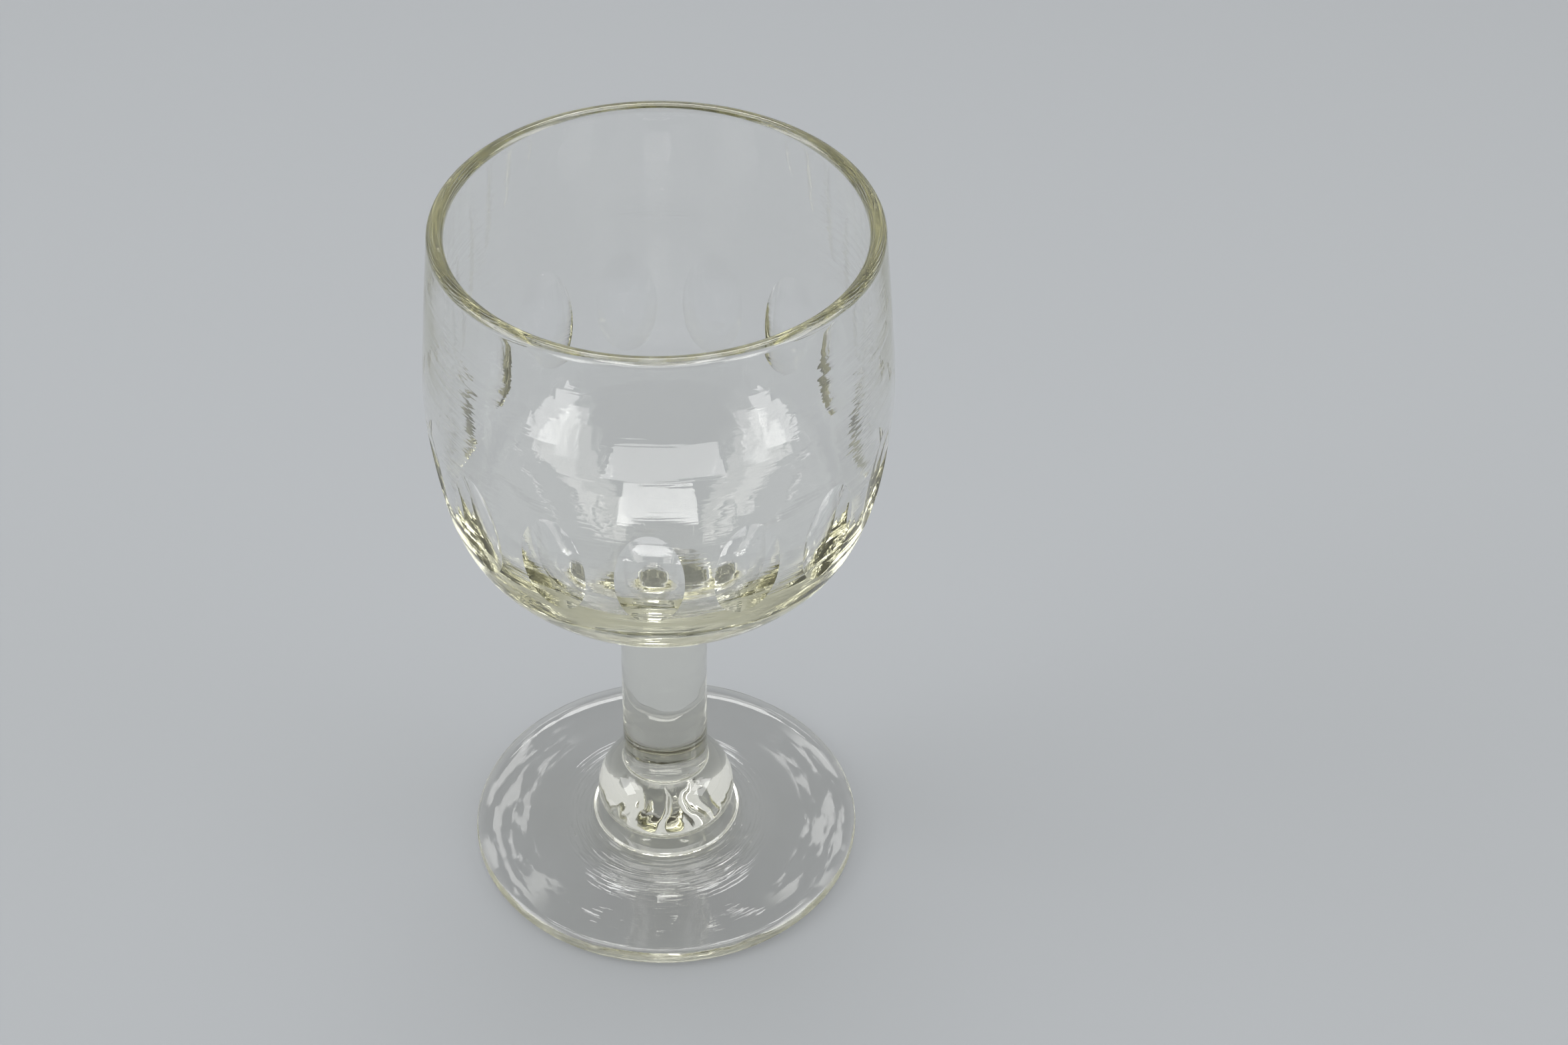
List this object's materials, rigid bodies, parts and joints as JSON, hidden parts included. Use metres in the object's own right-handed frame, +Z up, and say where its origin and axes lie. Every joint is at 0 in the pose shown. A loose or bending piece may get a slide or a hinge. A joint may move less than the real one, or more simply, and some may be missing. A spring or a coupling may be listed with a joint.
{
  "type": "port glass",
  "caption": "Clear port glass: deep rounded bowl with a band of cut ovals round its lower wall, on a short plain stem with a round knop, thin collar and low round foot.",
  "frame": {"origin": "centre of the foot on the surface that the glass stands on", "axes": "+Z up along the glass's axis, towards the rim; one cut oval faces -Y"},
  "size_m": [0.0618, 0.0618, 0.109],
  "materials": {
    "clear_glass": "fire-polished clear glass with a faint olive tint where it is thick"
  },
  "bodies": {
    "root": {"bowl": "clear_glass", "stem": "clear_glass", "knop": "clear_glass", "collar": "clear_glass", "foot": "clear_glass"}
  },
  "joints": []
}
